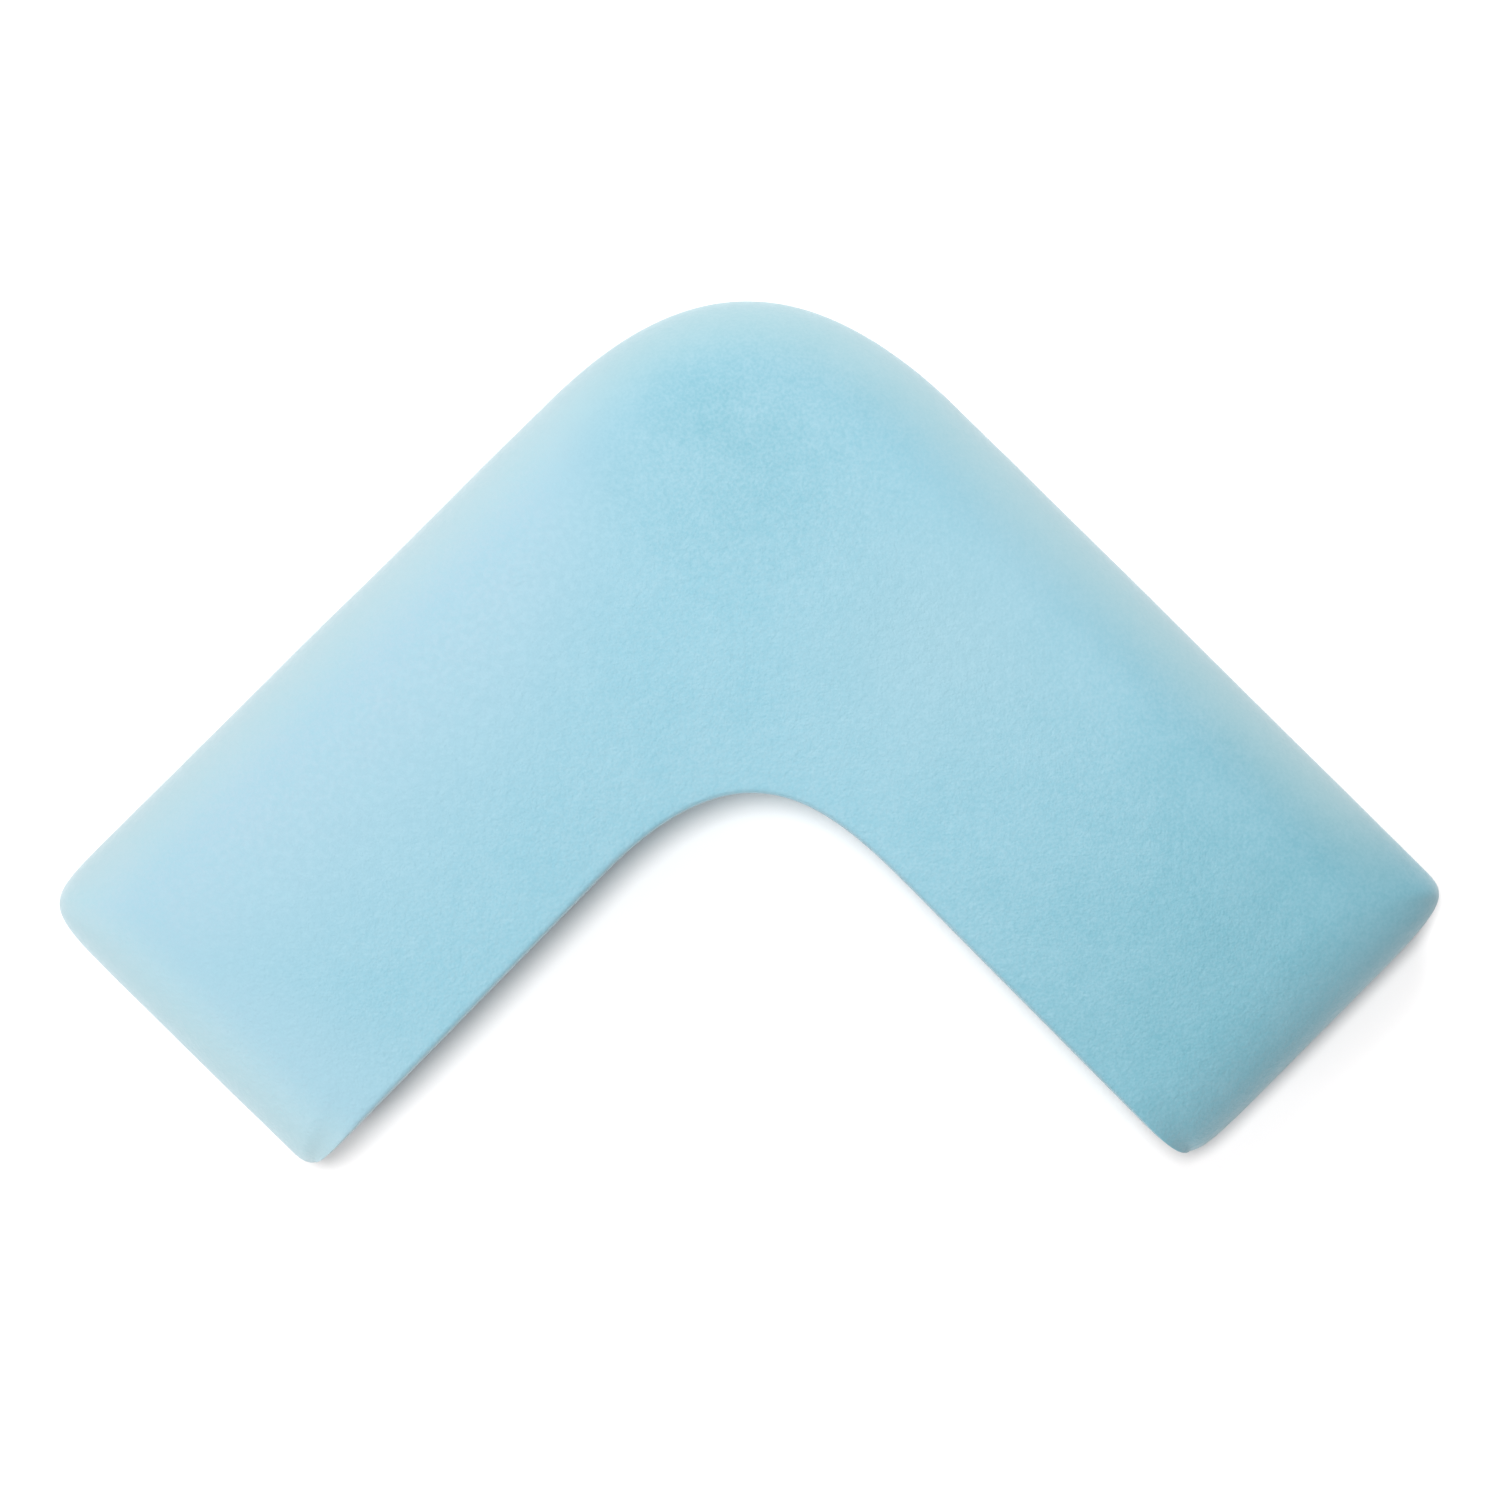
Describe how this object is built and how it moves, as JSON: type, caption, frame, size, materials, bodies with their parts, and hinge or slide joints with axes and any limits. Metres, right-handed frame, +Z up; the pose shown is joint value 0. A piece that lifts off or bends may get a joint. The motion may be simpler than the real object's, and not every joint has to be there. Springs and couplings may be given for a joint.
{
  "type": "l-shaped foam pillow",
  "caption": "Side sleeper's bed pillow moulded in one piece as an L: broad straight arms that meet in a rounded bend, with an open crook for the neck and shoulder.",
  "frame": {"origin": "centre of the plan's box, on the surface that the pillow lies on", "axes": "+X along the overall length from one arm's tip to the other's, +Y from the open crook to the outer bend, +Z up through the loft"},
  "size_m": [0.8104, 0.506, 0.1016],
  "materials": {
    "gel_foam": "matt light blue gel foam with a fine suede-like moulded skin, paler and mottled towards the bend"
  },
  "bodies": {
    "root": {"pillow_foam": "gel_foam"}
  },
  "joints": []
}
